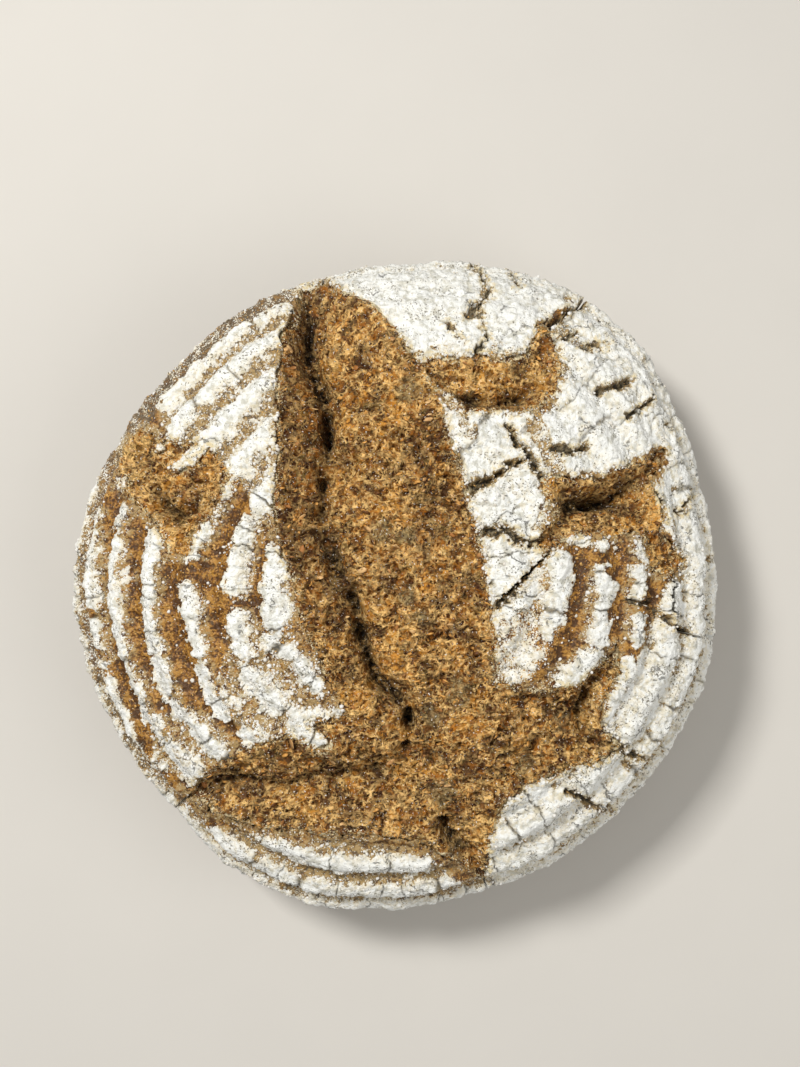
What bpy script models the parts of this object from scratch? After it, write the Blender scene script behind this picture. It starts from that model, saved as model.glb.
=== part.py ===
"""A round spelt loaf, proved in a coiled cane basket and torn open in the oven.

One solid in metres, +Z up, resting on its flat underside. Plan places are millimetres from the
middle of the coil, +X to the right and +Y away, as the loaf is seen from above.
"""

import math

import bmesh
import bpy
import numpy as np

MM = 0.001

# Driving sizes
RADIUS = 110.0                 # mean radius of the loaf's widest line, in mm
HEIGHT = 86.0                  # crown above the underside
WIDEST_HEIGHT = 31.0           # height of the widest line
TUCK = 21.0                    # how far the side runs back in below the widest line
CROWN_POWER = 2.4              # 2 is an ellipse, more gives squarer shoulders
UNDERSIDE_TRIM = 0.6           # sliced off below, so that the underside is one flat face

# The basket's coil: equal steps along the crust, from the crown down the side
COIL_STEP = 13.8
COIL_FIRST = 38.5              # one ridge's distance from the crown, along the crust
RIDGE_RELIEF = 1.3             # half the height from groove to ridge
COIL_START = 20.0              # the crown inside this is plain
COIL_START_FADE = 15.0         # length over which the ridges rise to their full height
COIL_END = 158.0               # the basket's rim: below it the side is smooth
COIL_END_FADE = 10.0

# The outline's radius every 15 degrees, from +X through +Y
OUTLINE_RADII = (
    110, 110, 113, 117.5, 117.5, 114, 110, 108, 107.5, 105.5, 106.5, 108,
    109.5, 108, 107, 106.5, 111, 112.5, 110.5, 108.5, 109, 108.5, 109.5, 111,
)

# Tears in the crust: closed outlines
TEARS = {
    "long": (
        (-31, 101), (-34, 90), (-36, 83), (-37, 70), (-37, 40), (-38, 20), (-34, 8), (-31, 0),
        (-29, -13), (-25, -21), (-19, -33), (-14, -43), (0, -58), (20, -62), (34, -45),
        (31, -30), (31, -14), (29, 2), (26, 16), (21, 34), (17, 47), (14, 60), (8, 70),
        (1, 79), (-6, 88), (-12, 93), (-18, 97), (-22, 102),
    ),
    "bottom": (
        (-69, -68), (-59, -60), (-50, -54), (-40, -50), (-24, -43), (-14, -40), (10, -35),
        (33, -31), (45, -33), (58, -32), (66, -26), (71, -19), (72, -28), (66, -38), (67, -47),
        (73, -52), (66, -57), (54, -60), (42, -64), (34, -71), (31, -83), (30, -99), (24, -94),
        (13, -85), (4, -81), (-12, -80), (-42, -79), (-60, -75),
    ),
    "cross": (
        (6, 70), (13, 73), (20, 72), (26, 74), (33, 72), (39, 72), (43, 75), (48, 85), (51, 81),
        (54, 70), (51, 62), (47, 57), (40, 55), (31, 56), (23, 55), (19, 61), (13, 63),
    ),
    "right": (
        (47, 31), (51, 34), (65, 34), (71, 37), (79, 39), (85, 44), (89, 44), (88, 39), (83, 33),
        (86, 27), (88, 23), (86, 18), (90, 12), (95, 8), (90, 4), (83, 5), (80, 17), (70, 16),
        (55, 16), (50, 11), (44, 12), (48, 18), (52, 24),
    ),
    "left": (
        (-92, 46), (-84, 52), (-74, 46), (-62, 46), (-55, 40), (-52, 34), (-56, 27), (-62, 18),
        (-66, 10), (-71, 10), (-76, 20), (-85, 28), (-91, 34),
    ),
}
TEAR_STEP = 1.8                # drop just inside a tear's edge
TEAR_SLOPE = 2.2               # width over which the edge drops
TEAR_REACH = 122.0             # how far down the crust the tears run before they close
TEAR_CLOSE = 20.0              # length over which they close
RIDGE_LOST = 0.75              # share of the ridges' height that is lost inside a tear

# Clefts, the deep lines of the tears: path, depth, width, and the extra depth of the wide trough
CLEFTS = (
    (((-30, 99), (-30, 82), (-28, 72), (-23, 62), (-22, 40), (-24, 30), (-23, 17), (-19, 6),
      (-13, -6), (-10, -20), (-6, -31), (4, -39), (5, -50), (0, -58)), 6.0, 3.2, 4.5),
    (((-67, -69), (-50, -66), (-37, -68), (-24, -63), (-10, -62), (2, -60)), 3.5, 3.0, 4.0),
    (((17, -72), (17, -82), (24, -93), (29, -99)), 4.5, 3.0, 2.0),
    (((69, -23), (64, -31), (61, -41), (63, -52)), 3.0, 2.5, 1.5),
    (((10, 62), (19, 61), (34, 59), (41, 62), (48, 67)), 4.0, 2.8, 3.0),
    (((51, 22), (58, 26), (64, 27), (74, 29), (83, 36)), 5.5, 3.4, 2.5),
    (((-82, 36), (-77, 28), (-71, 23), (-62, 26)), 3.5, 2.6, 1.0),
)
TROUGH_WIDTH = 9.0

# Swellings of the crumb that rose through the tears: path, height and width
BULGES = (
    (((-8, 84), (-2, 62), (0, 34), (9, 4), (19, -26)), 2.6, 12.0),
    (((-48, -59), (-26, -54), (-6, -52)), 1.6, 6.0),
    (((28, -46), (48, -46)), 1.4, 7.0),
)

# Cracks between the crust's plates: path and depth
CRACKS = (
    (((36, 51), (39, 45), (43, 41), (47, 33)), 2.4),
    (((22, 29), (30, 33), (37, 38), (42, 40)), 3.0),
    (((27, 16), (34, 18), (38, 15), (44, 13)), 2.2),
    (((30, -8), (36, -3), (40, 2), (45, 6)), 2.2),
    (((48, 84), (54, 87), (62, 93)), 3.2),
    (((65, 62), (71, 64), (77, 67)), 1.8),
    (((50, 42), (55, 41), (60, 43)), 1.8),
    (((74, -5), (82, -6), (91, -14), (97, -16)), 2.2),
    (((70, -50), (76, -56), (84, -57)), 2.4),
    (((57, -67), (64, -72), (72, -75)), 2.2),
)
CRACK_WIDTH = 1.7

# Mesh density before and after the triangles are thinned
AROUND = 360
ALONG = 150
TRIANGLES = 11400
PROFILE_POINTS = 400           # points on each curved stretch of the profile
SLOPE_STEP = 0.5               # reach along the profile, each way, that its slope is read over

CRUST_COLOUR = (0.30, 0.14, 0.05, 1.0)
CRUST_ROUGHNESS = 0.85


def clear_scene():
    for obj in list(bpy.data.objects):
        bpy.data.objects.remove(obj, do_unlink=True)


def profile():
    """Distance along the crust, radius and height from the crown to the middle of the underside."""
    turn = np.linspace(0.0, math.pi / 2, PROFILE_POINTS)
    crown_r = RADIUS * np.sin(turn) ** (2 / CROWN_POWER)
    crown_z = WIDEST_HEIGHT + (HEIGHT - WIDEST_HEIGHT) * np.cos(turn) ** (2 / CROWN_POWER)
    side_r = RADIUS - TUCK * (1 - np.cos(turn[1:]))
    side_z = WIDEST_HEIGHT * (1 - np.sin(turn[1:]))
    radius = np.concatenate([crown_r, side_r, [0.0]])
    height = np.concatenate([crown_z, side_z, [0.0]])
    steps = np.hypot(np.diff(radius), np.diff(height))
    return np.concatenate([[0.0], np.cumsum(steps)]), radius, height


def outline_scale(angle):
    """The outline's radius at an angle, as a share of the mean radius."""
    turns = np.arange(len(OUTLINE_RADII) + 1) * (2 * math.pi / len(OUTLINE_RADII))
    radii = np.array(OUTLINE_RADII + OUTLINE_RADII[:1], float)
    position = np.mod(angle, 2 * math.pi) / turns[1]
    index = np.minimum(position.astype(int), len(OUTLINE_RADII) - 1)
    ease = position - index
    ease = ease * ease * (3 - 2 * ease)
    return (radii[index] * (1 - ease) + radii[index + 1] * ease) / RADIUS


def path_distance(x, y, path):
    """Distance in plan from each point to an open path."""
    nearest = np.full(x.shape, np.inf)
    for (ax, ay), (bx, by) in zip(path[:-1], path[1:]):
        dx, dy = bx - ax, by - ay
        share = np.clip(((x - ax) * dx + (y - ay) * dy) / (dx * dx + dy * dy), 0, 1)
        nearest = np.minimum(nearest, np.hypot(x - ax - share * dx, y - ay - share * dy))
    return nearest


def depth_inside(x, y, outline):
    """Distance to a closed outline, positive inside it."""
    ring = outline + outline[:1]
    inside = np.zeros(x.shape, bool)
    for (ax, ay), (bx, by) in zip(ring[:-1], ring[1:]):
        if ay != by:
            crosses = (ay > y) != (by > y)
            inside ^= crosses & (x < ax + (y - ay) * (bx - ax) / (by - ay))
    return np.where(inside, 1.0, -1.0) * path_distance(x, y, ring)


def smooth_step(value):
    value = np.clip(value, 0, 1)
    return value * value * (3 - 2 * value)


def hump(x, y, path, width):
    """One on a path, falling away smoothly on both sides of it."""
    return np.exp(-((path_distance(x, y, path) / width) ** 2))


def relief(x, y, along):
    """Height of the crust over the plain loaf, in mm, at plan places and distances from the crown."""
    open_here = smooth_step((TEAR_REACH - along) / TEAR_CLOSE + 0.5)
    torn = np.maximum.reduce([depth_inside(x, y, outline) for outline in TEARS.values()])
    torn = smooth_step(torn / TEAR_SLOPE + 0.5) * open_here
    coil = np.cos(2 * math.pi * (along - COIL_FIRST) / COIL_STEP)
    coil *= smooth_step((along - COIL_START) / COIL_START_FADE)
    coil *= smooth_step((COIL_END - along) / COIL_END_FADE)
    height = RIDGE_RELIEF * coil * (1 - RIDGE_LOST * torn) - TEAR_STEP * torn
    for path, depth, width, trough in CLEFTS:
        height -= depth * hump(x, y, path, width) * open_here
        height -= trough * hump(x, y, path, TROUGH_WIDTH) * torn
    for path, rise, width in BULGES:
        height += rise * hump(x, y, path, width) * torn
    for path, depth in CRACKS:
        height -= depth * hump(x, y, path, CRACK_WIDTH) * open_here
    return height


def shape_loaf(mesh):
    """Moves a sphere's vertices onto the loaf: its poles become the crown and the underside."""
    count = len(mesh.vertices)
    ball = np.empty(count * 3)
    mesh.vertices.foreach_get("co", ball)
    ball = ball.reshape(-1, 3)
    angle = np.arctan2(ball[:, 1], ball[:, 0])
    fall = np.arccos(np.clip(ball[:, 2], -1, 1)) / math.pi
    along_line, radius_line, height_line = profile()
    along = fall * along_line[-1]
    radius = np.interp(along, along_line, radius_line)
    height = np.interp(along, along_line, height_line)
    ahead, behind = along + SLOPE_STEP, along - SLOPE_STEP
    run = np.interp(ahead, along_line, radius_line) - np.interp(behind, along_line, radius_line)
    drop = np.interp(ahead, along_line, height_line) - np.interp(behind, along_line, height_line)
    length = np.hypot(run, drop)
    radius *= outline_scale(angle)
    rise = relief(radius * np.cos(angle), radius * np.sin(angle), along)
    radius -= drop / length * rise
    height += run / length * rise
    placed = np.stack([radius * np.cos(angle), radius * np.sin(angle), height], axis=1) * MM
    mesh.vertices.foreach_set("co", placed.ravel())
    mesh.update()


def thin_triangles(loaf):
    """Thins the mesh where the crust is plain, and keeps the result as the loaf's own mesh."""
    triangles = 2 * AROUND * (ALONG - 1)
    thinner = loaf.modifiers.new("thin", "DECIMATE")
    thinner.ratio = TRIANGLES / triangles
    graph = bpy.context.evaluated_depsgraph_get()
    thinned = bpy.data.meshes.new_from_object(loaf.evaluated_get(graph))
    loaf.modifiers.clear()
    loaf.data = thinned


def flatten_underside(mesh):
    """Slices the underside flat and centres the loaf on the origin with its underside at zero."""
    form = bmesh.new()
    form.from_mesh(mesh)
    everything = form.verts[:] + form.edges[:] + form.faces[:]
    cut = bmesh.ops.bisect_plane(
        form, geom=everything, plane_co=(0, 0, UNDERSIDE_TRIM * MM), plane_no=(0, 0, -1), clear_outer=True
    )
    rim = [item for item in cut["geom_cut"] if isinstance(item, bmesh.types.BMEdge)]
    bmesh.ops.contextual_create(form, geom=rim)
    bmesh.ops.recalc_face_normals(form, faces=form.faces)
    places = np.array([vert.co for vert in form.verts])
    low, high = places.min(axis=0), places.max(axis=0)
    middle = ((low[0] + high[0]) / 2, (low[1] + high[1]) / 2, low[2])
    bmesh.ops.translate(form, verts=form.verts, vec=[-value for value in middle])
    form.to_mesh(mesh)
    form.free()


def crust_material():
    material = bpy.data.materials.new("spelt_crust")
    material.use_nodes = True
    shader = material.node_tree.nodes["Principled BSDF"]
    shader.inputs["Base Color"].default_value = CRUST_COLOUR
    shader.inputs["Roughness"].default_value = CRUST_ROUGHNESS
    shader.inputs["Metallic"].default_value = 0.0
    return material


def make_loaf():
    parts = bpy.data.collections.new("spelt_bread")
    bpy.context.scene.collection.children.link(parts)
    ball = bmesh.new()
    bmesh.ops.create_uvsphere(ball, u_segments=AROUND, v_segments=ALONG, radius=1.0)
    mesh = bpy.data.meshes.new("loaf")
    ball.to_mesh(mesh)
    ball.free()
    loaf = bpy.data.objects.new("loaf", mesh)
    parts.objects.link(loaf)
    shape_loaf(mesh)
    thin_triangles(loaf)
    flatten_underside(loaf.data)
    loaf.data.materials.append(crust_material())
    loaf.data.shade_smooth()
    return loaf


clear_scene()
make_loaf()
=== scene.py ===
import math

import bmesh
import bpy
import numpy as np
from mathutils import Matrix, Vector


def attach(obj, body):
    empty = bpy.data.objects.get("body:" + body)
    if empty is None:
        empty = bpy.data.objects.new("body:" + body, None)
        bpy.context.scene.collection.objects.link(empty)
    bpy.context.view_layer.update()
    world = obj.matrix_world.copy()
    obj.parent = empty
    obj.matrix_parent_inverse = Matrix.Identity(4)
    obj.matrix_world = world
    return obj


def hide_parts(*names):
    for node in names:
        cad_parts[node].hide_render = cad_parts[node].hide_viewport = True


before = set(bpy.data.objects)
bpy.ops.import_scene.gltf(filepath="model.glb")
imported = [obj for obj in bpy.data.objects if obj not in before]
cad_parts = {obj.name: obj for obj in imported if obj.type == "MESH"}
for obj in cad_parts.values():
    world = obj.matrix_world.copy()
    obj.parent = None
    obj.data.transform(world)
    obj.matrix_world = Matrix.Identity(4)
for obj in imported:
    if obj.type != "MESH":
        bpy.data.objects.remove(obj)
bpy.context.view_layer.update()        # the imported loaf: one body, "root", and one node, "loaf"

# Lengths below are millimetres, and plan places are measured from the middle of the coil:
# +X to the photo's right and +Y to its top. "along" is the way down the crust from the crown.
mm = 0.001

loafForm = {
    "radius": 110.0,             # mean radius of the widest line
    "height": 86.0,              # crown above the board
    "widest": 31.0,              # height of the widest line
    "tuck": 21.0,                # how far the side runs back in below it
    "shoulder": 2.4,             # 2 is an ellipse, more is squarer
    "trim": 0.6,                 # sliced off the underside
    "middle": (-0.25, -0.3),     # the coil's middle, from the middle of the loaf's box
    "heart": (0.0, 0.0, 20.0),   # a point deep inside, that hidden edges run towards
}

# radius of the outline every 15 degrees, from +X through +Y
outlineRadii = (
    110, 110, 113, 117.5, 117.5, 114, 110, 108, 107.5, 105.5, 106.5, 108,
    109.5, 108, 107, 106.5, 111, 112.5, 110.5, 108.5, 109, 108.5, 109.5, 111,
)

coil = {
    "step": 13.8,                # ridge to ridge, along the crust
    "first": 38.5,               # one ridge's distance from the crown
    "relief": 1.3,               # half the height from groove to ridge
    "start": 20.0,               # the ridges begin here, along the crust
    "startFade": 15.0,
    "end": 158.0,                # and end here
    "endFade": 10.0,
}

tears = {
    "long": (
        (-31, 101), (-34, 90), (-36, 83), (-37, 70), (-37, 40), (-38, 20), (-34, 8), (-31, 0),
        (-29, -13), (-25, -21), (-19, -33), (-14, -43), (0, -58), (20, -62), (34, -45),
        (31, -30), (31, -14), (29, 2), (26, 16), (21, 34), (17, 47), (14, 60), (8, 70),
        (1, 79), (-6, 88), (-12, 93), (-18, 97), (-22, 102),
    ),
    "bottom": (
        (-69, -68), (-59, -60), (-50, -54), (-40, -50), (-24, -43), (-14, -40), (10, -35),
        (33, -31), (45, -33), (58, -32), (66, -26), (71, -19), (72, -28), (66, -38), (67, -47),
        (73, -52), (66, -57), (54, -60), (42, -64), (34, -71), (31, -83), (30, -99), (24, -94),
        (13, -85), (4, -81), (-12, -80), (-42, -79), (-60, -75),
    ),
    "cross": (
        (6, 70), (13, 73), (20, 72), (26, 74), (33, 72), (39, 72), (43, 75), (48, 85), (51, 81),
        (54, 70), (51, 62), (47, 57), (40, 55), (31, 56), (23, 55), (19, 61), (13, 63),
    ),
    "right": (
        (47, 31), (51, 34), (65, 34), (71, 37), (79, 39), (85, 44), (89, 44), (88, 39), (83, 33),
        (86, 27), (88, 23), (86, 18), (90, 12), (95, 8), (90, 4), (83, 5), (80, 17), (70, 16),
        (55, 16), (50, 11), (44, 12), (48, 18), (52, 24),
    ),
    "left": (
        (-92, 46), (-84, 52), (-74, 46), (-62, 46), (-55, 40), (-52, 34), (-56, 27), (-62, 18),
        (-66, 10), (-71, 10), (-76, 20), (-85, 28), (-91, 34),
    ),
}

# deep lines of the tears: path, depth, width, and the extra depth of the wide trough round them
clefts = (
    (((-30, 99), (-30, 82), (-28, 72), (-23, 62), (-22, 40), (-24, 30), (-23, 17), (-19, 6),
      (-13, -6), (-10, -20), (-6, -31), (4, -39), (5, -50), (0, -58)), 6.0, 3.2, 4.5),
    (((-67, -69), (-50, -66), (-37, -68), (-24, -63), (-10, -62), (2, -60)), 3.5, 3.0, 4.0),
    (((17, -72), (17, -82), (24, -93), (29, -99)), 4.5, 3.0, 2.0),
    (((69, -23), (64, -31), (61, -41), (63, -52)), 3.0, 2.5, 1.5),
    (((10, 62), (19, 61), (34, 59), (41, 62), (48, 67)), 4.0, 2.8, 3.0),
    (((51, 22), (58, 26), (64, 27), (74, 29), (83, 36)), 5.5, 3.4, 2.5),
    (((-82, 36), (-77, 28), (-71, 23), (-62, 26)), 3.5, 2.6, 1.0),
)
troughWidth = 9.0

# swellings of the crumb: path, height, width
bulges = (
    (((-8, 84), (-2, 62), (0, 34), (9, 4), (19, -26)), 2.6, 12.0),
    (((-48, -59), (-26, -54), (-6, -52)), 1.6, 6.0),
    (((28, -46), (48, -46)), 1.4, 7.0),
)

# cracks between plates of crust: path, depth, half width
cracks = (
    (((36, 51), (39, 45), (43, 41), (47, 33)), 2.4, 1.7),
    (((22, 29), (30, 33), (37, 38), (42, 40)), 3.0, 2.0),
    (((27, 16), (34, 18), (38, 15), (44, 13)), 2.2, 1.7),
    (((30, -8), (36, -3), (40, 2), (45, 6)), 2.2, 1.5),
    (((48, 84), (54, 87), (62, 93), (66, 99)), 3.2, 1.7),
    (((66, 63), (71, 64), (77, 67)), 1.8, 1.6),
    (((75, 54), (79, 57), (85, 61)), 1.5, 0.9),
    (((51, 43), (56, 42), (61, 44)), 1.8, 1.5),
    (((74, -5), (82, -6), (91, -14), (97, -16)), 2.2, 1.4),
    (((70, -50), (76, -56), (84, -57)), 2.4, 1.6),
    (((57, -67), (64, -72), (72, -75)), 2.2, 1.5),
    (((27, 107), (30, 102), (31, 96), (28, 92), (24, 87)), 1.8, 1.3),
    (((40, 106), (41, 99)), 1.3, 1.0),
    (((28, 88), (30, 80), (27, 75)), 1.2, 0.8),
    (((17, 84), (21, 79)), 1.2, 1.0),
    (((61, 76), (66, 79), (70, 79)), 1.4, 1.3),
    (((56, 80), (60, 83)), 1.3, 0.9),
    (((90, 52), (94, 49)), 1.2, 0.9),
    (((94, 23), (97, 28), (100, 31)), 1.5, 1.1),
)


def srgb(red, green, blue):
    # screen colour, 0 to 255, as Blender's linear colour
    parts = [value / 255 for value in (red, green, blue)]
    return tuple(v / 12.92 if v <= 0.04045 else ((v + 0.055) / 1.055) ** 2.4 for v in parts) + (1.0,)


def smoothStep(value):
    value = np.clip(value, 0, 1)
    return value * value * (3 - 2 * value)


def latticeRandom(cells, seed):
    # one fixed number from 0 to 1 for each whole-number place
    parts = cells.astype(np.int64).astype(np.uint32)
    mixed = parts[:, 0] * np.uint32(374761393) + parts[:, 1] * np.uint32(668265263)
    mixed = mixed + parts[:, 2] * np.uint32(2246822519) + np.uint32(seed * 3266489917 % 2**32)
    for shift, factor in ((15, 2246822519), (13, 3266489917)):
        mixed = (mixed ^ (mixed >> np.uint32(shift))) * np.uint32(factor)
    return (mixed ^ (mixed >> np.uint32(16))) / 4294967295.0


def softNoise(points, size, seed):
    # smooth noise from -1 to 1, with lumps about "size" millimetres across
    places = points / size
    cells = np.floor(places)
    ease = places - cells
    ease = ease * ease * ease * (ease * (ease * 6 - 15) + 10)
    total = np.zeros(len(points))
    for corner in np.ndindex(2, 2, 2):
        share = np.prod(np.where(np.array(corner) == 1, ease, 1 - ease), axis=1)
        total += share * latticeRandom(cells + corner, seed)
    return 2 * total - 1


def layeredNoise(points, size, seed, layers=3, fall=0.5):
    total, reach = np.zeros(len(points)), 0.0
    for layer in range(layers):
        total += softNoise(points, size / 2**layer, seed + layer) * fall**layer
        reach += fall**layer
    return total / reach


def cellNoise(points, size, seed):
    # distance to the nearest and the second nearest of scattered points, and the nearest one's number
    places = points / size
    cells = np.floor(places)
    nearest = np.full(len(points), 9.0)
    second = nearest.copy()
    owner = np.zeros(len(points))
    for offset in np.ndindex(3, 3, 3):
        corner = cells + offset - 1
        jitter = np.column_stack([latticeRandom(corner, seed + axis) for axis in range(3)])
        reach = np.sqrt(((corner + jitter - places) ** 2).sum(axis=1))
        closer = reach < nearest
        second = np.where(closer, nearest, np.minimum(second, reach))
        owner = np.where(closer, latticeRandom(corner, seed + 7), owner)
        nearest = np.minimum(nearest, reach)
    return nearest * size, second * size, owner


def pathDistance(x, y, path):
    nearest = np.full(x.shape, np.inf)
    for (ax, ay), (bx, by) in zip(path[:-1], path[1:]):
        dx, dy = bx - ax, by - ay
        share = np.clip(((x - ax) * dx + (y - ay) * dy) / (dx * dx + dy * dy), 0, 1)
        nearest = np.minimum(nearest, np.hypot(x - ax - share * dx, y - ay - share * dy))
    return nearest


def hump(x, y, path, width):
    return np.exp(-((pathDistance(x, y, path) / width) ** 2))


def depthInside(x, y, outline):
    # distance to a closed outline, positive inside it
    ring = tuple(outline) + tuple(outline[:1])
    inside = np.zeros(x.shape, bool)
    for (ax, ay), (bx, by) in zip(ring[:-1], ring[1:]):
        if ay != by:
            inside ^= ((ay > y) != (by > y)) & (x < ax + (y - ay) * (bx - ax) / (by - ay))
    return np.where(inside, 1.0, -1.0) * pathDistance(x, y, ring)


def profileLine():
    # distance along the crust, radius and height, from the crown to the middle of the underside
    turn = np.linspace(0.0, math.pi / 2, 400)
    power = 2 / loafForm["shoulder"]
    crownRadius = loafForm["radius"] * np.sin(turn) ** power
    crownHeight = loafForm["widest"] + (loafForm["height"] - loafForm["widest"]) * np.cos(turn) ** power
    sideRadius = loafForm["radius"] - loafForm["tuck"] * (1 - np.cos(turn[1:]))
    sideHeight = loafForm["widest"] * (1 - np.sin(turn[1:]))
    radius = np.concatenate([crownRadius, sideRadius, [0.0]])
    height = np.concatenate([crownHeight, sideHeight, [0.0]])
    steps = np.hypot(np.diff(radius), np.diff(height))
    return np.concatenate([[0.0], np.cumsum(steps)]), radius, height, len(turn)


alongLine, radiusLine, heightLine, crownCount = profileLine()


def outlineScale(angle):
    turns = 2 * math.pi / len(outlineRadii)
    radii = np.array(outlineRadii + outlineRadii[:1], float)
    position = np.mod(angle, 2 * math.pi) / turns
    index = np.minimum(position.astype(int), len(outlineRadii) - 1)
    ease = smoothStep(position - index)
    return (radii[index] * (1 - ease) + radii[index + 1] * ease) / loafForm["radius"]


def placeOnLoaf(angle, along, rise):
    # places over the plain loaf by "rise", at right angles to its profile
    radius = np.interp(along, alongLine, radiusLine) * outlineScale(angle)
    height = np.interp(along, alongLine, heightLine)
    run = np.interp(along + 0.5, alongLine, radiusLine) - np.interp(along - 0.5, alongLine, radiusLine)
    drop = np.interp(along + 0.5, alongLine, heightLine) - np.interp(along - 0.5, alongLine, heightLine)
    length = np.hypot(run, drop)
    radius = radius - drop / length * rise
    height = height + run / length * rise
    return np.column_stack([radius * np.cos(angle), radius * np.sin(angle), height])


def planToCrust(x, y):
    # plan place to angle and distance along the crust
    angle = np.arctan2(y, x)
    radius = np.minimum(np.hypot(x, y) / outlineScale(angle), loafForm["radius"])
    return angle, np.interp(radius, radiusLine[:crownCount], alongLine[:crownCount])


def coilWave(along):
    # 1 on a ridge and -1 in a groove, fading out at the crown and below the coil's end
    wave = np.cos(2 * math.pi * (along - coil["first"]) / coil["step"])
    wave = wave * smoothStep((along - coil["start"]) / coil["startFade"])
    return wave * smoothStep((coil["end"] - along) / coil["endFade"])


def tornDepth(x, y):
    # distance inside the nearest tear, negative on crust and on the islands left in the tears
    torn = np.maximum.reduce([depthInside(x, y, outline) for outline in tears.values()])
    for halfWidth, *path in crustChips:
        torn = np.minimum(torn, pathDistance(x, y, path) - halfWidth)
    return torn


# small islands of crust left standing in the tears
crustChips = (
    (3.2, (-31, -45), (-23, -50)),
    (2.4, (-70, 38), (-64, 42), (-58, 47)),
    (1.3, (-76, 44), (-75.5, 44.5)),
    (1.6, (-89, 35), (-89, 33)),
)

# floured fields: outline, how far the flour gives way in the grooves, how whole it is (3 is whole),
# and how much damp flour shows round it
flourFields = {
    "top": (((-27, 125), (-23, 98), (-12, 91), (-4, 85), (4, 70), (26, 70), (44, 74), (49, 84),
             (72, 108), (30, 125)), 0.2, 3.0, 1),
    "upperRight": (((49, 84), (52, 66), (48, 56), (14, 58), (18, 44), (28, 4), (31, -14), (46, 5), (49, 12),
                    (46, 30), (52, 33), (70, 36), (86, 45), (90, 40), (84, 30), (88, 18), (92, 5),
                    (125, 5), (125, 60), (72, 108)), 0.3, 3.0, 1),
    "rightEdge": (((88, 2), (92, 8), (125, 8), (120, -60), (60, -115), (28, -108), (30, -80), (35, -68),
                   (55, -57), (66, -52), (68, -45), (72, -35), (76, -25), (82, -14), (86, -4)), 1.35, 3.0, 1),
    "upperLeft": (((-33, 106), (-30, 60), (-33, 20), (-43, 20), (-50, 33), (-58, 35), (-70, 44), (-77, 52),
                   (-82, 61), (-68, 80), (-50, 94)), 2.1, 2.6, 1),
    "bottomRim": (((-78, -74), (-60, -79), (-42, -81), (-12, -82), (4, -84), (13, -88), (28, -104),
                   (10, -120), (-40, -112), (-90, -80)), 2.6, 3.0, 1),
    "leaf": (((54, 8), (53, -10), (45, -25), (34, -32), (31, -14), (44, 5)), 0.0, 0.05, 0),
    "lowerLeft": (((-82, -42), (-64, -40), (-50, -52), (-55, -62), (-66, -67), (-80, -58)), 1.2, 0.9, 1),
    "innerLeft": (((-52, -10), (-31, -14), (-22, -38), (-40, -52), (-58, -40)), 0.9, 0.2, 1),
    "lowerEdge": (((-104, -30), (-92, -30), (-78, -62), (-72, -72), (-84, -82), (-104, -56)), 1.6, 2.0, 1),
}

# fields whose bare places are damp and greyish; the grey there is partly painted shade in the grooves between
# floured ridges
whiteFields = ("upperRight", "rightEdge", "top", "upperLeft", "bottomRim", "lowerEdge")

# strokes of flour left on the ridges: half width, then the path
flourStrokes = (
    (2.6, (-99, 25), (-100, 10), (-99.5, 0), (-98.5, -13), (-96.5, -25)),
    (2.8, (-88.5, 25), (-91, 9.5), (-92, 0), (-89.5, -17.5), (-87.5, -25.5), (-84, -33),
     (-82, -41.5), (-75.5, -50), (-72, -56.5), (-66, -63.5)),
    (1.6, (-86.5, 4.5), (-86.5, 2)),
    (3.2, (-77, 16), (-79, 1.5), (-78.5, -14), (-77, -20)),
    (3.4, (-75.5, -25), (-74, -33), (-70, -40.5), (-65, -44)),
    (4.4, (-62, -47), (-54, -56)),
    (2.6, (-62.5, 13), (-58, 23), (-53, 33)),
    (1.6, (-64, 9.5), (-62, 8.5)),
    (3.3, (-66, -2), (-64.5, -12), (-62, -20)),
    (3.5, (-61.5, -27), (-57.5, -36), (-53.5, -42)),
    (3.2, (-48, -46.5), (-42.5, -51)),
    (3.4, (-46.5, 18.5), (-48, 11), (-50.5, -1.5)),
    (3.8, (-49.5, -11), (-48, -19)),
    (4.2, (-45.5, -29), (-37.5, -38)),
    (3.2, (-31, -40), (-22.5, -42), (-14, -43)),
    (4.6, (-37, 8), (-38, -2), (-37, -12)),
    (3.8, (-38.5, -18), (-33, -21)),
    (3.4, (-30, -25), (-25, -31)),
    (3.4, (-31, -45), (-23, -50)),
    (2.4, (-70, 38), (-64, 42), (-58, 47)),
    (1.6, (-76, 44), (-75.5, 44.5)),
    (1.8, (-89, 35), (-89, 33)),
    (4.6, (52, 8), (52.5, 0), (49.5, -9)),
    (2.6, (45, -1), (36, -8)),
    (2.8, (42, -21), (37, -29)),
    (3.9, (66.5, 3), (66.5, -6), (65, -17)),
    (3.6, (63, -22.5), (56.5, -28), (53, -30)),
    (2.6, (78, 4.5), (78.5, -6), (77.5, -17)),
    (2.6, (75, -25), (71, -38), (68, -47)),
    (1.9, (56, 13), (60, 14)),
    (1.6, (65, 13), (70, 12)),
    (1.9, (78, 12), (80, 9)),
)

# places with a thin speckling of flour: outline and strength
dustedPlaces = (
    (((56, 8), (54, -10), (43, -30), (32, -33), (30, -12), (44, 6)), 0.95),
    (((36, 58), (50, 56), (54, 40), (48, 30), (38, 40)), 0.6),
    (((22, 36), (42, 42), (48, 32), (40, 12), (26, 14)), 0.35),
    (((-45, 120), (-42, 99), (-72, 78), (-90, 58), (-96, 40), (-125, 60)), 0.5),
    (((-60, -20), (-30, -25), (-20, -44), (-44, -50), (-60, -40)), 0.3),
)

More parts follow.
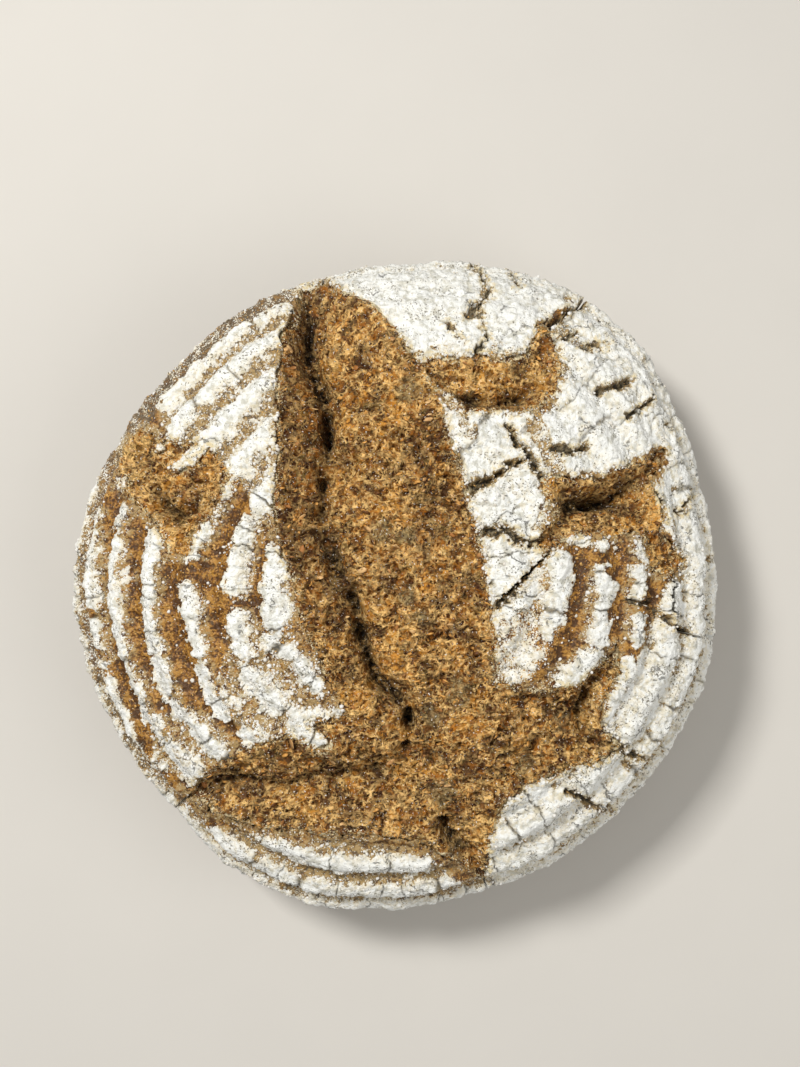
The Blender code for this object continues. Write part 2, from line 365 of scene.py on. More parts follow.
flour = {
    "thickness": 0.65,
    "ragged": 1.35,              # how far the flour's edge wanders
    "chip": 2.6,                 # size of its crumbly lumps, and the height from one to the next
    "chipStep": 0.3,
    "pillows": ((7.0, 1.1), (3.2, 0.8), (1.5, 0.6)),    # rounded lumps: their size and height
    "crossCrack": 11.0,          # spacing of the cracks across a ridge
    "smearShift": 2.2,           # damp flour lies on the side of each stroke that faces the crown
    "smearWidth": 0.1,
    "sideStart": 112.0,          # where the side begins, along the crust, and where its flour thins out
    "sideEnd": 146.0,
}

# crumbly beige zones where the flour broke up: half width, how much is gone, then the path
wornPaths = (
    (2.8, 3.1, (43, 56), (45, 50), (49, 42), (52, 36)),
    (2.6, 2.7, (16, 64), (20, 56), (24, 48)),
    (2.4, 2.6, (52, 73), (56, 65), (53, 58)),
    (2.6, 2.6, (53, 82), (63, 77)),
    (2.2, 2.2, (4, 71), (15, 75), (26, 76), (40, 75)),
    (2.0, 2.5, (28, 106), (31, 97), (27, 88)),
    (1.8, 2.4, (88, 26), (93, 16), (94, 6)),
    (1.8, 2.6, (48, 10), (45, 18), (49, 26)),
)

# share of the coil's relief that is left, where the crust stretched and the flour lies thick
softRidges = {"top": 0.3, "upperRight": 0.75}


def flourScore(x, y, angle, along, wave, points):
    # millimetres inside the flour, negative on bare crust, and the same for the damp smear beside it
    score, smear = np.full(x.shape, -9.0), np.full(x.shape, -9.0)
    outX, outY = x + flour["smearShift"] * np.cos(angle), y + flour["smearShift"] * np.sin(angle)
    for outline, groove, most, damp in flourFields.values():
        field = depthInside(x, y, outline)
        score = np.maximum(score, np.minimum(field, most) - groove * (1 - wave) / 2 * 1.6)
        if damp:
            smear = np.maximum(smear, np.minimum(field, 2.0))
    for halfWidth, *path in flourStrokes:
        score = np.maximum(score, halfWidth - 0.25 - pathDistance(x, y, path))
        smear = np.maximum(smear, halfWidth + flour["smearWidth"] - pathDistance(outX, outY, path))
    for halfWidth, gone, *path in wornPaths:
        worn = wornShare(x, y, halfWidth, path)
        crumbs = 1.6 * softNoise(points, 2.0, 73) + 1.2 * softNoise(points, 0.9, 74)
        score, smear = score - (gone + crumbs) * worn, np.maximum(smear, 3 * worn - 1)
    side = smoothStep((along - flour["sideStart"]) / 8)        # past here the photo sees little
    turned = smoothStep((x + 60) / 60)                         # the loaf's right side kept more flour
    sideScore = 1.6 * wave + 1.3 * turned + 0.9 * softNoise(points, 22, 71) - 0.3
    sideScore = sideScore - 4 * smoothStep((along - flour["sideEnd"]) / 12)
    score, smear = score * (1 - side) + sideScore * side, smear * (1 - side) + (sideScore + 1) * side
    bare = bareRim(angle, along)
    return score - (3.0 - 0.9 * wave) * bare, smear - 4 * bare


def wornShare(x, y, halfWidth, path):
    return smoothStep((halfWidth - pathDistance(x, y, path)) / 2.0 + 0.5)


# the part of the rim, at the upper left, that the flour left bare: distance along the crust, and angles
bareEdge = {"start": 104, "first": 106, "last": 162}


def bareRim(angle, along):
    turned = np.degrees(np.mod(angle, 2 * math.pi))
    between = smoothStep((turned - bareEdge["first"]) / 6) * smoothStep((bareEdge["last"] - turned) / 8)
    return smoothStep((along - bareEdge["start"]) / 4) * between


def dustAndGlintAmount(x, y, along, smear):
    # a thin dusting everywhere: its white specks on bare crust are partly flour and partly painted glints
    dust = 0.12 + 0.32 * smoothStep(smear / 1.5)
    for outline, strength in dustedPlaces:
        dust = np.maximum(dust, strength * smoothStep(depthInside(x, y, outline) / 4 + 0.5))
    for halfWidth, gone, *path in wornPaths:
        dust = np.maximum(dust, 0.8 * wornShare(x, y, halfWidth, path))
    return np.maximum(dust, 0.6 * smoothStep((along - 104) / 8))


def ridgeShare(x, y):
    share = np.ones(x.shape)
    for name, left in softRidges.items():
        inside = smoothStep(depthInside(x, y, flourFields[name][0]) / 12 + 0.3)
        share = share * (1 - (1 - left) * inside)
    return share


def curledWalls(points, size, seed):
    # thin walls that wander, from 0 to 1
    return np.clip(1 - 2.4 * np.abs(softNoise(points, size, seed)), 0, 1) ** 2


def runOut(x, y, path):
    # less of a cleft near its two ends
    ends = np.minimum(np.hypot(x - path[0][0], y - path[0][1]), np.hypot(x - path[-1][0], y - path[-1][1]))
    return 0.25 + 0.75 * smoothStep(ends / 12)


def sharedRelief(x, y, wave, inTear, edge=1.0, broken=1.0):
    # the large relief that the solid has too; "edge" is less than 1 beside a tear's edge, and
    # "broken" where a cleft is bridged
    height = coil["relief"] * wave * (0.25 if inTear else ridgeShare(x, y) * edge)
    for path, depth, width, trough in clefts:
        left = edge * runOut(x, y, path)
        height = height - depth * hump(x, y, path, width) * (broken if inTear else 0.6) * left
        if inTear:
            height = height - trough * hump(x, y, path, troughWidth) * left
    if inTear:
        for path, rise, width in bulges:
            height = height + rise * hump(x, y, path, width)
    return height


def setValues(mesh, values):
    for name, numbers in values.items():
        attribute = mesh.attributes.new(name, "FLOAT", "POINT")
        attribute.data.foreach_set("value", np.asarray(numbers, np.float32))


def readPlaces(mesh):
    places = np.empty(len(mesh.vertices) * 3)
    mesh.vertices.foreach_get("co", places)
    return places.reshape(-1, 3)


def toWorld(places):
    shift = np.array([loafForm["middle"][0], loafForm["middle"][1], -loafForm["trim"]])
    return (places + shift) * mm


def flatSheet(name, low, high, spacing, keep):
    # an even grid over a rectangle of the sheet's own two directions, without the faces past its edge
    spans = [(h - l) for l, h in zip(low, high)]
    counts = [max(2, round(span / step)) for span, step in zip(spans, spacing)]
    form = bmesh.new()
    bmesh.ops.create_grid(form, x_segments=counts[0], y_segments=counts[1], size=0.5)
    bmesh.ops.scale(form, verts=form.verts, vec=(spans[0], spans[1], 1))
    bmesh.ops.translate(form, verts=form.verts, vec=((low[0] + high[0]) / 2, (low[1] + high[1]) / 2, 0))
    mesh = bpy.data.meshes.new(name)
    form.to_mesh(mesh)
    places = readPlaces(mesh)
    kept = keep(places[:, 0], places[:, 1])
    bmesh.ops.delete(form, geom=[v for v, k in zip(form.verts, kept) if not k], context="VERTS")
    for repeat in range(3):                                    # no corner may join two edges of the sheet
        pinched = [v for v in form.verts
                   if sum(e.is_boundary for e in v.link_edges) > 2 or not v.link_faces]
        bmesh.ops.delete(form, geom=pinched, context="VERTS")
    form.to_mesh(mesh)
    form.free()
    return mesh


def finishSheet(name, mesh, places, values, material, depth=14.0):
    # puts the sheet in place and closes it: its edges run inwards and are capped, out of sight
    mesh.vertices.foreach_set("co", toWorld(places).ravel())
    setValues(mesh, values)
    form = bmesh.new()
    form.from_mesh(mesh)
    heart = Vector(loafForm["heart"]) * mm
    rim = [edge for edge in form.edges if edge.is_boundary]
    skirt = bmesh.ops.extrude_edge_only(form, edges=rim)["geom"]
    for item in skirt:
        if isinstance(item, bmesh.types.BMVert):
            inward = Vector((0, 0, -1)) if item.co.z > 0.06 else (heart - item.co).normalized()
            item.co += inward * depth * mm
    bmesh.ops.holes_fill(form, edges=[e for e in form.edges if e.is_boundary], sides=0)
    bmesh.ops.recalc_face_normals(form, faces=form.faces)
    form.to_mesh(mesh)
    form.free()
    return addPiece(name, mesh, material)


def addPiece(name, mesh, material):
    mesh.materials.clear()
    mesh.materials.append(material)
    mesh.shade_smooth()
    mesh.update()
    piece = bpy.data.objects.new(name, mesh)
    bpy.context.scene.collection.objects.link(piece)
    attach(piece, "root")
    faces = sum(len(polygon.vertices) - 2 for polygon in mesh.polygons)
    print(f"{name}: {faces} triangles")
    return piece


# Materials

def addNode(tree, kind, inputs=None, **settings):
    node = tree.nodes.new("ShaderNode" + kind)
    for key, value in settings.items():
        setattr(node, key, value)
    for key, value in (inputs or {}).items():
        if isinstance(value, bpy.types.NodeSocket):
            tree.links.new(value, node.inputs[key])
        else:
            node.inputs[key].default_value = value
    return node


def mixColour(tree, factor, first, second):
    node = addNode(tree, "Mix", {0: factor, 6: first, 7: second}, data_type="RGBA")
    return node.outputs[2]


def remap(tree, value, low, high, toLow=0.0, toHigh=1.0, smooth=True):
    inputs = {"Value": value, "From Min": low, "From Max": high, "To Min": toLow, "To Max": toHigh}
    kind = "SMOOTHSTEP" if smooth else "LINEAR"
    return addNode(tree, "MapRange", inputs, interpolation_type=kind).outputs["Result"]


def calculate(tree, operation, first, second=0.0):
    return addNode(tree, "Math", {0: first, 1: second}, operation=operation).outputs[0]


def readAttribute(tree, name):
    return addNode(tree, "Attribute", attribute_name=name).outputs["Fac"]


def noiseAt(tree, place, size, detail=3.0, distortion=0.0):
    inputs = {"Vector": place, "Scale": 1000.0 / size, "Detail": detail, "Distortion": distortion}
    return addNode(tree, "TexNoise", inputs).outputs["Fac"]


def newGroup(name, inputs, outputs):
    group = bpy.data.node_groups.new(name, "ShaderNodeTree")
    for label, kind, value in inputs:
        socket = group.interface.new_socket(label, in_out="INPUT", socket_type="NodeSocket" + kind)
        socket.default_value = value
    for label, kind in outputs:
        group.interface.new_socket(label, in_out="OUTPUT", socket_type="NodeSocket" + kind)
    return group, group.nodes.new("NodeGroupInput"), group.nodes.new("NodeGroupOutput")


def placeGroup(tree, group, inputs):
    node = tree.nodes.new("ShaderNodeGroup")
    node.node_tree = group
    for key, value in inputs.items():
        if isinstance(value, bpy.types.NodeSocket):
            tree.links.new(value, node.inputs[key])
        else:
            node.inputs[key].default_value = value
    return node


def makeMottleGroup():
    # three colours mixed by two sizes of noise
    group, given, result = newGroup("bakedMottle", [
        ("Dark", "Color", srgb(90, 55, 25)), ("Middle", "Color", srgb(150, 95, 40)),
        ("Light", "Color", srgb(190, 130, 70)), ("Coarse", "Float", 6.0), ("Fine", "Float", 0.8),
        ("Shift", "Float", 0.0)], [("Color", "Color")])
    place = addNode(group, "TexCoord").outputs["Object"]
    coarseScale = calculate(group, "DIVIDE", 1000.0, given.outputs["Coarse"])
    fineScale = calculate(group, "DIVIDE", 1000.0, given.outputs["Fine"])
    coarse = addNode(group, "TexNoise", {"Vector": place, "Scale": coarseScale, "Detail": 3.0})
    coarse = calculate(group, "MULTIPLY", coarse.outputs["Fac"], 1.1)
    fine = addNode(group, "TexNoise", {"Vector": place, "Scale": fineScale, "Detail": 2.0})
    fine = calculate(group, "MULTIPLY", fine.outputs["Fac"], 0.9)
    centred = calculate(group, "SUBTRACT", calculate(group, "ADD", coarse, fine), 0.5)
    value = calculate(group, "ADD", centred, given.outputs["Shift"])
    low = mixColour(group, remap(group, value, 0.32, 0.52), given.outputs["Dark"], given.outputs["Middle"])
    full = mixColour(group, remap(group, value, 0.5, 0.7), low, given.outputs["Light"])
    group.links.new(full, result.inputs["Color"])
    return group


def makeFlourGroup():
    # where flour lies: from its score in millimetres, and the thin dusting round it
    group, given, result = newGroup("flourCover", [
        ("Score", "Float", 0.0), ("Dust", "Float", 0.0), ("Ragged", "Float", 0.8)],
        [("Cover", "Float"), ("Edge", "Float")])
    place = addNode(group, "TexCoord").outputs["Object"]
    ragged = calculate(group, "SUBTRACT", noiseAt(group, place, 0.9, 3.0), 0.5)
    ragged = calculate(group, "MULTIPLY", calculate(group, "MULTIPLY", ragged, 3.0), given.outputs["Ragged"])
    score = calculate(group, "ADD", given.outputs["Score"], ragged)
    cover = remap(group, score, -0.12, 0.22)
    grains = noiseAt(group, place, 0.55, 2.0)
    patches = noiseAt(group, place, 3.5, 2.0)
    amount = calculate(group, "MULTIPLY", given.outputs["Dust"], remap(group, patches, 0.3, 0.7, 0.5, 1.3))
    limit = calculate(group, "SUBTRACT", 0.74, calculate(group, "MULTIPLY", amount, 0.36))
    specks = remap(group, calculate(group, "SUBTRACT", grains, limit), 0.0, 0.06)
    group.links.new(calculate(group, "MAXIMUM", cover, specks), result.inputs["Cover"])
    group.links.new(remap(group, score, 0.2, 1.6), result.inputs["Edge"])
    return group


def newMaterial(name, roughness=0.8):
    material = bpy.data.materials.new(name)
    material.use_nodes = True
    tree = material.node_tree
    shader = tree.nodes["Principled BSDF"]
    shader.inputs["Roughness"].default_value = roughness
    shader.inputs["Specular IOR Level"].default_value = 0.4
    return material, tree, shader


def addBump(tree, shader, layers):
    # each layer: a height from 0 to 1 and its depth in millimetres
    normal = None
    for height, depth in layers:
        inputs = {"Height": height, "Distance": depth * mm, "Strength": 1.0}
        if normal is not None:
            inputs["Normal"] = normal
        normal = addNode(tree, "Bump", inputs).outputs["Normal"]
    tree.links.new(normal, shader.inputs["Normal"])


# Crust colours. The damp grey-brown stands partly for real damp crust and partly for painted shade.
crustLook = {
    "bareDark": srgb(76, 46, 12), "bareMiddle": srgb(128, 84, 26), "bareLight": srgb(174, 126, 54),
    "flour": srgb(235, 234, 227), "flourShade": srgb(200, 197, 184), "cream": srgb(212, 190, 136),
    "smear": srgb(166, 138, 90), "fleck": srgb(84, 72, 48), "crack": srgb(52, 44, 28),
    "damp": srgb(104, 90, 68), "crackSoft": srgb(120, 106, 78),
}

# Crumb colours. The pit and deep colours are painted shade, the rim colour a painted highlight, and the glint
# colour painted glints.
crumbLook = {
    "deep": srgb(30, 22, 10), "pitShade": srgb(52, 21, 1), "dark": srgb(66, 31, 1), "middle": srgb(118, 68, 8),
    "light": srgb(202, 139, 50), "rim": srgb(248, 204, 130), "amber": srgb(158, 93, 4),
    "mauve": srgb(96, 58, 36), "olive": srgb(120, 100, 48), "cream": srgb(222, 206, 166),
    "grey": srgb(156, 138, 96), "greyDark": srgb(78, 62, 36), "paintedGlint": srgb(246, 240, 228),
}


def bendPlace(tree, place, reach, size=3.3, detail=5.0):
    # the place moved about by noise, up to about "reach" millimetres
    noise = addNode(tree, "TexNoise", {"Vector": place, "Scale": 1000.0 / size, "Detail": detail})
    bend = {0: noise.outputs["Color"], 1: (0.5, 0.5, 0.5)}
    centred = addNode(tree, "VectorMath", bend, operation="SUBTRACT").outputs[0]
    scaled = addNode(tree, "VectorMath", {0: centred, "Scale": reach * mm}, operation="SCALE").outputs[0]
    return addNode(tree, "VectorMath", {0: place, 1: scaled}, operation="ADD").outputs[0]


def crackLines(tree, place, size, width):
    # jagged thin cracks between uneven lumps
    inputs = {"Vector": bendPlace(tree, place, size * 0.5), "Scale": 1000.0 / size}
    cells = addNode(tree, "TexVoronoi", inputs, feature="DISTANCE_TO_EDGE")
    return remap(tree, cells.outputs["Distance"], width / size, width / size * 0.3)


def laceAt(tree, place, size, width, holes):
    # thin walls round torn bubbles, and the share "holes" of the bubbles that are open, whose insides are
    # painted dark as shade
    bent = bendPlace(tree, place, size * 1.2, size * 1.1, 2.0)
    inputs = {"Vector": bent, "Scale": 1000.0 / size}
    edge = addNode(tree, "TexVoronoi", inputs, feature="DISTANCE_TO_EDGE").outputs["Distance"]
    cells = addNode(tree, "TexVoronoi", inputs)
    number = addNode(tree, "SeparateColor", {0: cells.outputs["Color"]}).outputs[0]
    walls = remap(tree, edge, width / size, width / size * 0.4)
    inside = remap(tree, edge, width / size * 0.5, width / size * 1.4)
    return walls, calculate(tree, "MULTIPLY", remap(tree, number, holes, holes - 0.08), inside)


def makeCrustMaterial(mottle, cover):
    material, tree, shader = newMaterial("flouredCrust", 0.85)
    place = addNode(tree, "TexCoord").outputs["Object"]
    smear = readAttribute(tree, "smear")
    shift = remap(tree, readAttribute(tree, "grit"), 0.1, 0.9, -0.14, 0.14)
    bare = placeGroup(tree, mottle, {
        "Dark": crustLook["bareDark"], "Middle": crustLook["bareMiddle"], "Light": crustLook["bareLight"],
        "Coarse": 3.2, "Fine": 0.8, "Shift": shift})
    # the damp grey-brown is partly real damp crust and partly painted shade on the side and between floured
    # ridges
    dampAndShadeNoise = remap(tree, noiseAt(tree, place, 2.4, 4.0), 0.36, 0.6, 0.45, 0.95)
    damp = calculate(tree, "MULTIPLY", readAttribute(tree, "field"), dampAndShadeNoise)
    bare = mixColour(tree, damp, bare.outputs["Color"], crustLook["damp"])
    smearNoise = remap(tree, noiseAt(tree, place, 1.6, 3.0), 0.36, 0.56)
    bare = mixColour(tree, calculate(tree, "MULTIPLY", smear, smearNoise), bare, crustLook["smear"])
    lying = placeGroup(tree, cover, {
        "Score": readAttribute(tree, "flourScore"), "Dust": readAttribute(tree, "dust"), "Ragged": 0.8})
    shade = remap(tree, noiseAt(tree, place, 2.4, 5.0), 0.34, 0.52)
    white = mixColour(tree, shade, crustLook["flourShade"], crustLook["flour"])
    creamNoise = remap(tree, noiseAt(tree, place, 1.5, 3.0), 0.4, 0.6)
    creamy = calculate(tree, "MULTIPLY", readAttribute(tree, "cream"), creamNoise)
    edgeCream = calculate(tree, "SUBTRACT", 1.0, lying.outputs["Edge"])
    edgeCream = calculate(tree, "MULTIPLY", calculate(tree, "MULTIPLY", edgeCream, smearNoise), 0.55)
    creamy = calculate(tree, "MAXIMUM", creamy, edgeCream)
    white = mixColour(tree, calculate(tree, "MULTIPLY", creamy, 0.8), white, crustLook["cream"])
    cluster = remap(tree, noiseAt(tree, place, 6.0, 3.0), 0.4, 0.66, 0.3, 0.44)
    flecks = remap(tree, calculate(tree, "SUBTRACT", cluster, noiseAt(tree, place, 0.65, 2.0)), 0.0, 0.05)
    white = mixColour(tree, calculate(tree, "MULTIPLY", flecks, 0.8), white, crustLook["fleck"])
    grain = remap(tree, noiseAt(tree, place, 0.9, 3.0), 0.42, 0.34)
    bare = mixColour(tree, calculate(tree, "MULTIPLY", grain, 0.6), bare, crustLook["fleck"])
    gate = calculate(tree, "MULTIPLY", remap(tree, noiseAt(tree, place, 9.0, 2.0), 0.56, 0.62),
                     remap(tree, noiseAt(tree, place, 1.2, 2.0), 0.4, 0.52))
    lines = calculate(tree, "MULTIPLY", crackLines(tree, place, 9.5, 0.36), gate)
    white = mixColour(tree, calculate(tree, "MULTIPLY", lines, 0.65), white, crustLook["crack"])
    colour = mixColour(tree, lying.outputs["Cover"], bare, white)
    crackColour = mixColour(tree, remap(tree, noiseAt(tree, place, 1.3, 3.0), 0.45, 0.6),
                            crustLook["crack"], crustLook["crackSoft"])
    colour = mixColour(tree, readAttribute(tree, "crack"), colour, crackColour)
    tree.links.new(colour, shader.inputs["Base Color"])
    gloss = remap(tree, noiseAt(tree, place, 0.8, 2.0), 0.4, 0.7, 0.6, 0.3)
    rough = addNode(tree, "Mix", {0: lying.outputs["Cover"], 2: gloss, 3: 0.95}, data_type="FLOAT")
    tree.links.new(rough.outputs[0], shader.inputs["Roughness"])
    sunk = calculate(tree, "SUBTRACT", 1.0, lines)
    addBump(tree, shader, [(sunk, 0.4), (noiseAt(tree, place, 1.5, 4.0, 0.4), 0.6),
                           (noiseAt(tree, place, 0.6, 2.0), 0.35)])
    return material


def makeCrumbMaterial(mottle, cover):
    material, tree, shader = newMaterial("tornCrumb", 0.6)
    shader.inputs["Specular IOR Level"].default_value = 0.22
    place = addNode(tree, "TexCoord").outputs["Object"]
    relief = readAttribute(tree, "relief")
    shift = remap(tree, readAttribute(tree, "tone"), 0.0, 1.0, -0.3, 0.24, smooth=False)
    colour = placeGroup(tree, mottle, {
        "Dark": crumbLook["dark"], "Middle": crumbLook["middle"], "Light": crumbLook["light"],
        "Coarse": 3.4, "Fine": 1.1, "Shift": shift}).outputs["Color"]
    amber = remap(tree, noiseAt(tree, place, 4.2, 3.0, 0.4), 0.5, 0.6)
    colour = mixColour(tree, calculate(tree, "MULTIPLY", amber, 0.8), colour, crumbLook["amber"])
    mauve = remap(tree, noiseAt(tree, place, 3.4, 4.0, 0.5), 0.56, 0.66)
    colour = mixColour(tree, calculate(tree, "MULTIPLY", mauve, 0.5), colour, crumbLook["mauve"])
    olive = remap(tree, noiseAt(tree, place, 4.6, 4.0, 0.5), 0.42, 0.34)
    colour = mixColour(tree, calculate(tree, "MULTIPLY", olive, 0.55), colour, crumbLook["olive"])
    walls, holes = laceAt(tree, place, 3.3, 0.5, 0.5)
    fineWalls, fineHoles = laceAt(tree, place, 1.8, 0.34, 0.4)
    hollow = calculate(tree, "MAXIMUM", calculate(tree, "MULTIPLY", holes, 0.8), fineHoles)
    clustered = remap(tree, noiseAt(tree, place, 3.0, 3.0), 0.4, 0.56, 1.0, 0.25)
    hollow = calculate(tree, "MULTIPLY", hollow, clustered)
    # painted shade: low places and open bubbles are painted dark, as the shade that falls in them
    low = calculate(tree, "MULTIPLY", remap(tree, relief, 0.42, 0.14), 0.8)
    pitShade = calculate(tree, "MULTIPLY", calculate(tree, "MAXIMUM", low, hollow), 0.88)
    colour = mixColour(tree, pitShade, colour, crumbLook["pitShade"])
    # painted highlight: the raised crumb and its curled walls are painted the pale rim colour
    high = calculate(tree, "MULTIPLY", remap(tree, relief, 0.54, 0.84),
                     remap(tree, noiseAt(tree, place, 1.6), 0.3, 0.5))
    curls = calculate(tree, "MAXIMUM", walls, calculate(tree, "MULTIPLY", fineWalls, 0.75))
    shown = remap(tree, noiseAt(tree, place, 2.6, 3.0), 0.42, 0.58, 0.1, 1.0)
    curls = calculate(tree, "MULTIPLY", curls, shown)
    wall = calculate(tree, "MAXIMUM", calculate(tree, "MULTIPLY", high, 0.6),
                     calculate(tree, "MULTIPLY", curls, 0.9))
    baked = remap(tree, readAttribute(tree, "tone"), 0.0, 0.5, 0.5, 1.0)
    wall = calculate(tree, "MULTIPLY", wall, baked)
    colour = mixColour(tree, wall, colour, crumbLook["rim"])
    greyNoise = mixColour(tree, remap(tree, noiseAt(tree, place, 1.4, 4.0, 0.6), 0.42, 0.58),
                          crumbLook["greyDark"], crumbLook["grey"])
    smooth = calculate(tree, "MULTIPLY", readAttribute(tree, "grey"), 0.65)
    colour = mixColour(tree, smooth, colour, greyNoise)
    # painted shade in the clefts and pits
    cleftShade = calculate(tree, "MULTIPLY", readAttribute(tree, "deep"),
                      remap(tree, noiseAt(tree, place, 1.8, 3.0), 0.38, 0.56, 1.0, 0.6))
    colour = mixColour(tree, cleftShade, colour, crumbLook["deep"])
    # painted glints: tiny white highlights painted into the crumb's colour
    paintedGlints = remap(tree, noiseAt(tree, place, 0.7, 1.0), 0.685, 0.725)
    colour = mixColour(tree, calculate(tree, "MULTIPLY", paintedGlints, 0.85), colour, crumbLook["paintedGlint"])
    lying = placeGroup(tree, cover, {
        "Score": readAttribute(tree, "flourScore"), "Dust": readAttribute(tree, "dust"), "Ragged": 0.6})
    colour = mixColour(tree, lying.outputs["Cover"], colour, crumbLook["cream"])
    tree.links.new(colour, shader.inputs["Base Color"])
    gloss = remap(tree, noiseAt(tree, place, 0.9, 2.0), 0.35, 0.7, 0.75, 0.28)
    tree.links.new(gloss, shader.inputs["Roughness"])
    sunken = calculate(tree, "SUBTRACT", curls, hollow)
    addBump(tree, shader, [(noiseAt(tree, place, 1.1, 4.0, 0.6), 0.7), (sunken, 0.55),
                           (noiseAt(tree, place, 0.4, 2.0), 0.2)])
    return material


def makeGrainMaterial(name, dark, light, rough):
    # for scattered bits: each one has its own tint, with finer mottling on it
    material, tree, shader = newMaterial(name, rough)
    place = addNode(tree, "TexCoord").outputs["Object"]
    tint = calculate(tree, "ADD", readAttribute(tree, "tint"),
                     calculate(tree, "SUBTRACT", noiseAt(tree, place, 0.8, 2.0), 0.5))
    tree.links.new(mixColour(tree, remap(tree, tint, 0.05, 0.95), dark, light), shader.inputs["Base Color"])
    addBump(tree, shader, [(noiseAt(tree, place, 0.4, 2.0), 0.12)])
    return material


# The camera looks straight down, as the photo does

view = {
    "height": 512.0,             # above the board
    "lens": 46.1,
    "shift": (0.0056, 0.0483),   # the loaf lies left of and below the middle of the picture
}


def makeCamera():
    camera = bpy.data.cameras.new("camera")
    camera.sensor_width = 36.0
    camera.lens = view["lens"]
    camera.shift_x, camera.shift_y = view["shift"]
    camera.clip_start = 0.01
    holder = bpy.data.objects.new("camera", camera)
    holder.location = (loafForm["middle"][0] * mm, loafForm["middle"][1] * mm, view["height"] * mm)
    bpy.context.scene.collection.objects.link(holder)
    bpy.context.scene.camera = holder


studio = {
    "floor": srgb(206, 201, 192),
    "sky": 0.31,
    "key": ((-0.40, 0.34, 0.92), 0.2, 9.6),         # place, size, watts
    "fill": ((0.7, -0.3, 0.7), 0.8, 3.6),
}


def makeStudio():
    world = bpy.data.worlds.new("studio")
    world.use_nodes = True
    world.node_tree.nodes["Background"].inputs["Color"].default_value = (1, 1, 1, 1)
    world.node_tree.nodes["Background"].inputs["Strength"].default_value = studio["sky"]
    bpy.context.scene.world = world
    bpy.context.scene.view_settings.view_transform = "Standard"
    for name in ("key", "fill"):
        place, size, watts = studio[name]
        lamp = bpy.data.lights.new(name, "AREA")
        lamp.size = size
        lamp.energy = watts
        holder = bpy.data.objects.new(name, lamp)
        holder.location = place
        holder.rotation_euler = (Vector((0, 0, 0.04)) - Vector(place)).to_track_quat("-Z", "Y").to_euler()
        bpy.context.scene.collection.objects.link(holder)
    form = bmesh.new()
    bmesh.ops.create_grid(form, x_segments=1, y_segments=1, size=2.0)
    mesh = bpy.data.meshes.new("floor")
    form.to_mesh(mesh)
    form.free()
    floor = bpy.data.objects.new("floor", mesh)
    material, tree, shader = newMaterial("paleFloor", 0.9)
    place = addNode(tree, "TexCoord").outputs["Object"]
    pale = tuple(value * 0.96 for value in studio["floor"][:3]) + (1.0,)
    colour = mixColour(tree, noiseAt(tree, place, 40.0), pale, studio["floor"])
    tree.links.new(colour, shader.inputs["Base Color"])
    mesh.materials.append(material)
    bpy.context.scene.collection.objects.link(floor)


makeCamera()
makeStudio()
mottleGroup, coverGroup = makeMottleGroup(), makeFlourGroup()
crustMaterial = makeCrustMaterial(mottleGroup, coverGroup)
crumbMaterial = makeCrumbMaterial(mottleGroup, coverGroup)
print("camera, lights and materials made")


# The torn crumb

crumb = {
    "sink": 1.8,                 # below the crust's level
    "edgeSink": 0.1,             # and beside its torn edge
    "margin": 4.0,               # how far it runs on under the crust
    "bend": 1.3,
    "stretch": (0.7, 1.0, 1.0),  # the walls were drawn out sideways as the loaf tore
    # torn gas cells: size, depth of the bowl, height and width of the wall round it
    "cells": ((5.0, 1.2, 0.7, 0.9), (2.6, 1.0, 0.6, 0.7)),
    "walls": ((4.2, 1.0), (2.4, 1.3), (1.4, 0.9)),             # curled walls: size and height
    "swell": ((8.0, 1.0), (3.0, 0.4), (0.9, 0.25)),
    # open pits: middle, half length and half width along X, depth
    "pits": ((67.0, 27.5, 7.0, 2.8, 4.0), (-80.0, 32.0, 2.2, 1.6, 2.5), (-77.0, 27.0, 1.8, 1.8, 2.5),
             (17.0, -80.0, 2.2, 3.4, 3.0), (-28.4, 74.0, 1.4, 1.4, 2.5), (-22.5, 48.0, 1.2, 5.0, 2.0),
             (-23.5, 33.0, 1.7, 2.6, 2.2), (28.0, 60.5, 9.0, 1.5, 2.5)),
    "smoothPatches": ((20.5, -34, 5.0), (42.5, -57, 4.0), (54, -44, 3.5), (5, 63, 4.5), (-4, 16, 4.5),
                      (4, 16, 3.5), (12, -42, 4.0), (16, -68, 5.0), (3, -4, 3.5), (9, -9, 3.0)),
    "pieces": {
        "crumbLongTear": (("long",), 0.33),
        "crumbLowerTear": (("bottom",), 0.38),
        "crumbRightTears": (("cross", "right"), 0.38),
        "crumbLeftTear": (("left",), 0.4),
    },
}


